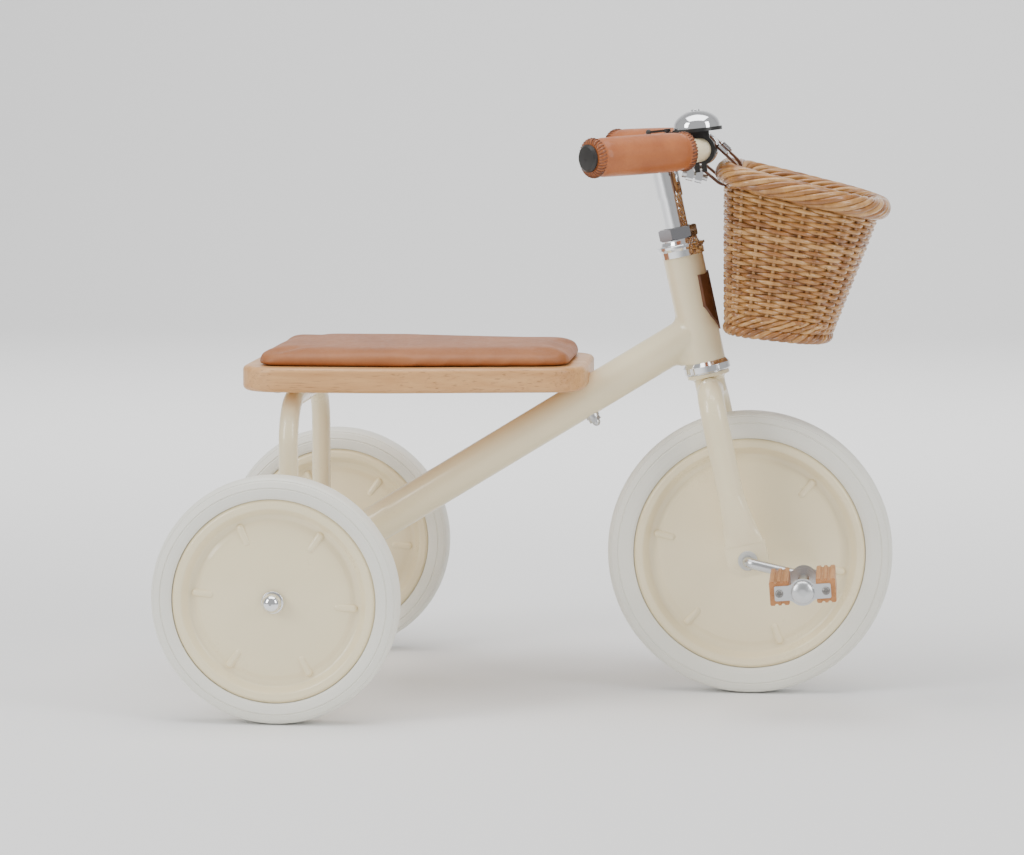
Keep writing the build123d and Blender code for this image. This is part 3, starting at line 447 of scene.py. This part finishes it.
def weave_strands(rng):
    """Rows of cane passing in turn outside and inside the stakes."""
    strands = []
    count = WEAVE_PERIODS * WEAVE_STEPS
    for row in range(WEAVE_ROWS):
        share = WEAVE_START + WEAVE_SPAN * row / (WEAVE_ROWS - 1)
        phase = math.pi * (row % 2) + rng.uniform(-0.12, 0.12)
        _, up = level_axes(level_at(share))
        sag = [rng.uniform(-0.25, 0.25) * MM for _ in range(WEAVE_PERIODS)]
        points = []
        for index, (point, outward) in enumerate(outline(level_at(share), count, WALL_MIDDLE)):
            wave = math.sin(2 * math.pi * WEAVE_PERIODS * index / count + phase)
            points.append(point + outward * wave * WEAVE_DEPTH + up * sag[index // WEAVE_STEPS])
        strands.append((points, CANE_R * rng.uniform(0.92, 1.06), True, rng.randrange(CANE_TONES)))
    return strands


def stake_strands(rng):
    """Upright stakes that the rows are woven over."""
    count = WEAVE_PERIODS * 4
    columns = [outline(level_at(step / 6 * 0.97), count, WALL_MIDDLE) for step in range(7)]
    return [([column[index][0] for column in columns], STAKE_R, False, rng.randrange(CANE_TONES))
            for index in range(1, count, 2)]


def rope_strands(level, inset, rope_r, cane_r, canes, turns, rng, lift=0.0):
    """Canes twisted round one closed line of the basket."""
    _, up = level_axes(level)
    strands = []
    count = max(240, turns * 12)
    centre = outline(level, count, inset)
    for cane in range(canes):
        points = []
        for index, (point, outward) in enumerate(centre):
            angle = 2 * math.pi * (cane / canes + turns * index / count)
            points.append(point + up * (lift + rope_r * math.sin(angle)) + outward * rope_r * math.cos(angle))
        strands.append((points, cane_r * rng.uniform(0.93, 1.05), True, rng.randrange(CANE_TONES)))
    return strands


def floor_strands(rng):
    """Woven bottom: rings of cane over radial stakes."""
    level = level_at(0.06)
    _, up = level_axes(level)
    middle = Vector((level["x"], 0, level["z"]))
    strands = []
    count = WEAVE_PERIODS * WEAVE_STEPS
    edge = outline(level, count, WALL_MIDDLE)
    for ring in range(13):
        scale = 0.06 + 0.92 * ring / 12
        points = []
        for index, (point, _) in enumerate(edge):
            wave = math.sin(math.pi * WEAVE_PERIODS * index / count + math.pi * (ring % 2))
            points.append(middle + (point - middle) * scale + up * wave * 1.2 * MM)
        strands.append((points, 1.9 * MM, True, rng.randrange(CANE_TONES)))
    for index in range(WEAVE_STEPS // 2, count, WEAVE_STEPS):
        strands.append(([middle, edge[index][0]], 1.6 * MM, False, rng.randrange(CANE_TONES)))
    return strands


def build_basket():
    rng = random.Random(11)
    walls = weave_strands(rng) + stake_strands(rng)
    wall = new_piece("basket_weave", strand_mesh("basket_weave", walls, CANES), "basket")
    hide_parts("basket_body")
    borders = floor_strands(rng)
    for share in (0.065, 0.10):
        borders += rope_strands(level_at(share), WALL_MIDDLE, 2.3 * MM, 2.1 * MM, 3, WEAVE_PERIODS, rng)
    borders += rope_strands(level_at(0.0), 5.2 * MM, 3.2 * MM, 2.6 * MM, 4, 12, rng, lift=1.0 * MM)
    new_piece("basket_foot", strand_mesh("basket_foot", borders, CANES), "basket")
    cane_r = 2.9 * MM
    roll = rope_strands(BASKET_RIM, 3.0 * MM, RIM_R - cane_r, cane_r, RIM_CANES, RIM_TURNS, rng)
    roll += rope_strands(BASKET_RIM, 3.0 * MM, 0.0, RIM_R - 2 * cane_r + 1.0 * MM, 1, 0, rng)
    rim = new_piece("basket_roll", strand_mesh("basket_roll", roll, CANES), "basket")
    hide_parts("basket_rim")


# ---------------------------------------------------------------- grips

def grip_radius(along, length):
    """Outside of a padded sleeve: rounded ends, a pinch behind each, a slight belly between."""
    near = min(along, length - along)
    belly = 0.6 * MM * math.sin(math.pi * along / length)
    pinch = 1.1 * MM * math.exp(-((near - 8.5 * MM) / (3.0 * MM)) ** 2)
    outside = GRIP_R - 0.6 * MM + belly - pinch
    if near >= GRIP_END:
        return outside
    rounding = math.sqrt(1 - (1 - near / GRIP_END) ** 2)
    return BAR_R + 1.5 * MM + (outside - BAR_R - 1.5 * MM) * rounding


def grip_line(side):
    """Start and direction of a grip's axis."""
    sweep = Vector((
        -math.sin(BAR_SWEEP) * math.cos(BAR_DROP),
        side * math.cos(BAR_SWEEP) * math.cos(BAR_DROP),
        -math.sin(BAR_DROP)))
    return BAR_CENTRE + Vector((0, side * BAR_APEX, 0)) + sweep * GRIP_START, sweep


def grip_mesh(name, start, axis, length):
    """Sleeve turned about the bar, with its gathered leather folds at both ends."""
    across = axis.cross(Vector((0, 0, 1))).normalized()
    shares = [0.5 - 0.5 * math.cos(math.pi * row / GRIP_ROWS) for row in range(GRIP_ROWS + 1)]
    profile = [(share * length, grip_radius(share * length, length)) for share in shares]
    profile = [(0.0, BAR_R + 0.1 * MM)] + profile + [(length, BAR_R + 0.1 * MM)]
    bm = bmesh.new()
    ring = [bm.verts.new(start + axis * along + across * radius) for along, radius in profile]
    edges = [bm.edges.new(pair) for pair in zip(ring, ring[1:])]
    bmesh.ops.spin(
        bm, geom=ring + edges, cent=start, axis=axis, angle=2 * math.pi, steps=GRIP_SIDES,
        use_duplicate=False)
    bmesh.ops.remove_doubles(bm, verts=bm.verts, dist=0.02 * MM)
    up = across.cross(axis)
    for vert in bm.verts:
        offset = vert.co - start
        along = offset.dot(axis)
        out = offset - axis * along
        near = min(along, length - along)
        if near < GRIP_FOLD_LENGTH and out.length > BAR_R + 1.0 * MM:
            angle = math.atan2(out.dot(up), out.dot(across))
            fold = 0.45 * MM * math.sin(GRIP_FOLDS * angle) * (1 - near / GRIP_FOLD_LENGTH)
            vert.co += out.normalized() * fold
    bmesh.ops.recalc_face_normals(bm, faces=bm.faces)
    for face in bm.faces:
        face.smooth = True
    mesh = bpy.data.meshes.new(name)
    bm.to_mesh(mesh)
    bm.free()
    mesh.materials.append(MATERIALS["grip_leather"])
    return mesh


def stitch_points(start, axis, along, phase):
    """Thread whipped over the gathered end of a sleeve."""
    across = axis.cross(Vector((0, 0, 1))).normalized()
    up = across.cross(axis)
    points = []
    count = GRIP_FOLDS * 12
    for index in range(count):
        turn = 2 * math.pi * index / count
        out = across * math.cos(turn) + up * math.sin(turn)
        loop = GRIP_FOLDS * turn + phase
        along_bar = along + STITCH_LOOP_R * math.sin(loop)
        points.append(start + axis * along_bar + out * (STITCH_RING_R + STITCH_LOOP_R * math.cos(loop)))
    return points


def build_grips():
    for side, label in ((-1, "right"), (1, "left")):
        start, axis = grip_line(side)
        length = GRIP_STOP - GRIP_START
        mesh = grip_mesh("grip_sleeve_" + label, start, axis, length)
        sleeve = new_piece("grip_sleeve_" + label, mesh, "handlebar")
        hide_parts("grip_" + label)
        threads = [
            (stitch_points(start, axis, along, phase), THREAD_R, True, 0)
            for along in (STITCH_INSET, length - STITCH_INSET) for phase in (0.0, math.pi)]
        mesh = strand_mesh("grip_stitches_" + label, threads, [MATERIALS["grip_thread"]], sides=1)
        new_piece("grip_stitches_" + label, mesh, "handlebar")


# ---------------------------------------------------------------- seat cushion

def apply_modifiers(piece):
    """Bakes a piece's modifiers, as they stand at the current frame, into its mesh."""
    graph = bpy.context.evaluated_depsgraph_get()
    baked = bpy.data.meshes.new_from_object(piece.evaluated_get(graph))
    piece.modifiers.clear()
    piece.data = baked


def inflate(piece, floor):
    """Short cloth simulation: air pressure swells the cover, its underside held down."""
    hold = piece.vertex_groups.new(name="underside")
    hold.add([v.index for v in piece.data.vertices if v.co.z < floor + 1.5 * MM], 1.0, "REPLACE")
    rest = [v.co.copy() for v in piece.data.vertices]
    cloth = piece.modifiers.new("Air", "CLOTH")
    cloth.settings.use_pressure = True
    cloth.settings.uniform_pressure_force = 4.0
    cloth.settings.effector_weights.gravity = 0.0
    cloth.settings.vertex_group_mass = "underside"
    cloth.settings.tension_stiffness = 25
    cloth.settings.quality = 5
    scene = bpy.context.scene
    for number in range(1, 21):
        scene.frame_set(number)
    apply_modifiers(piece)
    scene.frame_set(1)
    for vert, before in zip(piece.data.vertices, rest):
        move = vert.co - before
        if move.length > CUSHION_SWELL:
            vert.co = before + move * (CUSHION_SWELL / move.length)


def build_cushion():
    low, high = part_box("seat_cushion")
    bm = bmesh.new()
    bm.from_mesh(frame["nodes"]["seat_cushion"].data)
    bmesh.ops.remove_doubles(bm, verts=bm.verts, dist=0.02 * MM)
    middle = (low + high) / 2
    shrink = Vector((1 - 2.4 * MM / (high.x - low.x), 1 - 2.4 * MM / (high.y - low.y), 0.9))
    for vert in bm.verts:
        vert.co = Vector((
            middle.x + (vert.co.x - middle.x) * shrink.x,
            vert.co.y * shrink.y,
            low.z + (vert.co.z - low.z) * shrink.z))
    mesh = bpy.data.meshes.new("seat_pad")
    bm.to_mesh(mesh)
    bm.free()
    mesh.materials.clear()
    pad = bpy.data.objects.new("seat_pad", mesh)
    bpy.context.scene.collection.objects.link(pad)
    remesh = pad.modifiers.new("Even", "REMESH")
    remesh.mode = "VOXEL"
    remesh.voxel_size = CUSHION_VOXEL
    apply_modifiers(pad)
    inflate(pad, low.z)
    soften = pad.modifiers.new("Soften", "SMOOTH")
    soften.iterations = 6
    soften.factor = 0.5
    rounding = pad.modifiers.new("Round", "SUBSURF")
    rounding.levels = 1
    rounding.render_levels = 1
    apply_modifiers(pad)
    for vert in pad.data.vertices:
        vert.co.z = max(vert.co.z, low.z)
    for face in pad.data.polygons:
        face.use_smooth = True
    pad.data.materials.clear()
    pad.data.materials.append(MATERIALS["seat_leather"])
    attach(pad, "frame")
    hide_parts("seat_cushion")


# ---------------------------------------------------------------- stage, light and camera

def build_stage():
    """Pale floor running up into a backdrop in one curve."""
    bm = bmesh.new()
    radius, back = 2.0, 4.0
    profile = [(-9.0, 0.0), (back, 0.0)]
    profile += [(back + radius * math.sin(a), radius - radius * math.cos(a))
                for a in (math.pi / 2 * step / 16 for step in range(1, 17))]
    profile.append((back + radius, 8.0))
    line = [bm.verts.new((-12.0, y, z)) for y, z in profile]
    edges = [bm.edges.new(pair) for pair in zip(line, line[1:])]
    swept = bmesh.ops.extrude_edge_only(bm, edges=edges)["geom"]
    bmesh.ops.translate(bm, verts=[v for v in swept if isinstance(v, bmesh.types.BMVert)], vec=(24.0, 0, 0))
    bmesh.ops.recalc_face_normals(bm, faces=bm.faces)
    for face in bm.faces:
        face.smooth = True
    mesh = bpy.data.meshes.new("sweep")
    bm.to_mesh(mesh)
    bm.free()
    material = bpy.data.materials.new("Studio_White")
    material.use_nodes = True
    surface = material.node_tree.nodes["Principled BSDF"]
    surface.inputs["Base Color"].default_value = (0.86, 0.86, 0.86, 1.0)
    surface.inputs["Roughness"].default_value = 0.9
    surface.inputs["Specular IOR Level"].default_value = 0.1
    mesh.materials.append(material)
    sweep = bpy.data.objects.new("sweep", mesh)
    bpy.context.scene.collection.objects.link(sweep)


def area_light(name, place, target, width, height, power):
    light = bpy.data.lights.new(name, "AREA")
    light.shape = "RECTANGLE"
    light.size, light.size_y = width, height
    light.energy = power
    holder = bpy.data.objects.new(name, light)
    holder.location = place
    holder.rotation_euler = (Vector(target) - Vector(place)).to_track_quat("-Z", "Y").to_euler()
    bpy.context.scene.collection.objects.link(holder)


def build_lights():
    world = bpy.data.worlds.new("Studio")
    world.use_nodes = True
    world.node_tree.nodes["Background"].inputs["Color"].default_value = (1.0, 1.0, 1.0, 1.0)
    world.node_tree.nodes["Background"].inputs["Strength"].default_value = 0.55
    bpy.context.scene.world = world
    middle = (0.0, 0.0, 0.25)
    area_light("overhead", (0.0, -0.2, 2.6), middle, 2.6, 2.0, 62.0)
    area_light("left_softbox", (-2.2, -1.8, 1.5), middle, 1.0, 1.8, 46.0)
    area_light("right_softbox", (2.4, -1.5, 1.5), middle, 0.9, 1.8, 34.0)
    area_light("backdrop", (0.0, 1.6, 2.6), (0.0, 5.0, 0.6), 4.0, 1.2, 150.0)


def build_camera():
    camera = bpy.data.cameras.new("camera")
    camera.lens = 119.62
    camera.sensor_width = 36.0
    holder = bpy.data.objects.new("camera", camera)
    holder.location = (0.2901, -3.2146, 0.6166)
    holder.rotation_euler = (math.radians(83.551), 0.0, math.radians(5.622))
    bpy.context.scene.collection.objects.link(holder)
    bpy.context.scene.camera = holder


paint_frame()
build_cushion()
build_basket()
build_grips()
build_stage()
build_lights()
build_camera()
